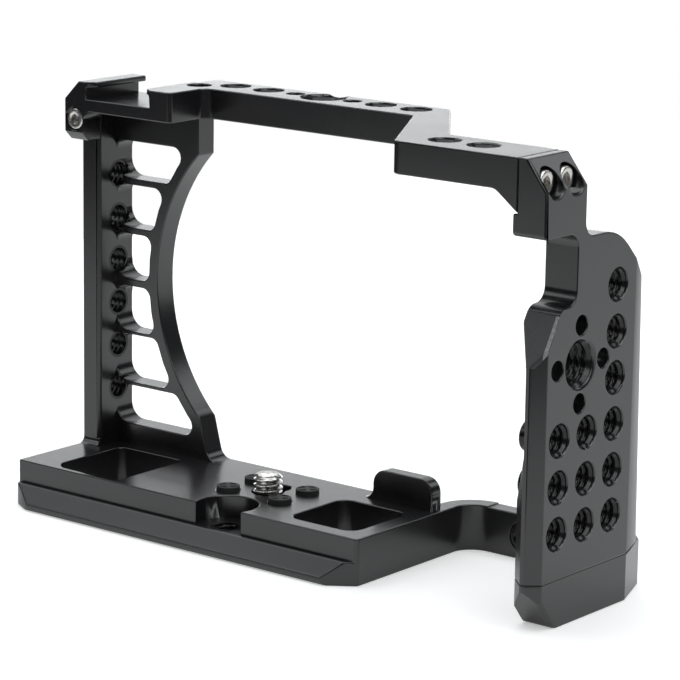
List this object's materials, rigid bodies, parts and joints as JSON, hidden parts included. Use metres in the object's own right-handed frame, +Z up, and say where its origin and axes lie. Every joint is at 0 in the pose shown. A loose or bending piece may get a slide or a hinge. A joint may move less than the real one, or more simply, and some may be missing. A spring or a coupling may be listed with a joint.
{
  "type": "camera cage",
  "caption": "Machined camera cage with a base plate, a ladder-shaped left side, a stepped top rail with a cold shoe and a drilled grip-side plate.",
  "frame": {"origin": "centre of the footprint's bounding box, on the flat underside", "axes": "+X to the right as seen from behind the camera, +Y towards the lens, +Z up"},
  "size_m": [0.144, 0.0472, 0.0948],
  "materials": {
    "black_anodised": "satin black anodised",
    "steel_screws": "turned stainless steel",
    "camera_screw_steel": "nickel-plated steel",
    "nylon": "matt",
    "rubber": "matt"
  },
  "bodies": {
    "frame": {"base_frame": "black_anodised", "top_rail": "black_anodised", "side_plate": "black_anodised", "ear_screw": "steel_screws", "web_screw": "steel_screws", "neck_screw_rear": "steel_screws", "neck_screw_front": "steel_screws", "foot_screw_rear": "steel_screws", "foot_screw_front": "steel_screws", "pad_rear_left": "rubber", "pad_front_left": "rubber", "pad_rear_right": "rubber", "pad_front_right": "rubber"},
    "washer": {"slide_washer": "nylon"},
    "screw": {"camera_screw": "camera_screw_steel"}
  },
  "joints": [
    {"name": "screw_slide", "type": "slide", "parent": "frame", "child": "washer", "axis": [0, 1, 0], "range_m": [0, 0.0038]},
    {"name": "screw_spin", "type": "hinge", "parent": "washer", "child": "screw", "pos_m": [-0.0128, -0.00275, 0.0102], "axis": [0, 0, 1], "continuous": true}
  ]
}
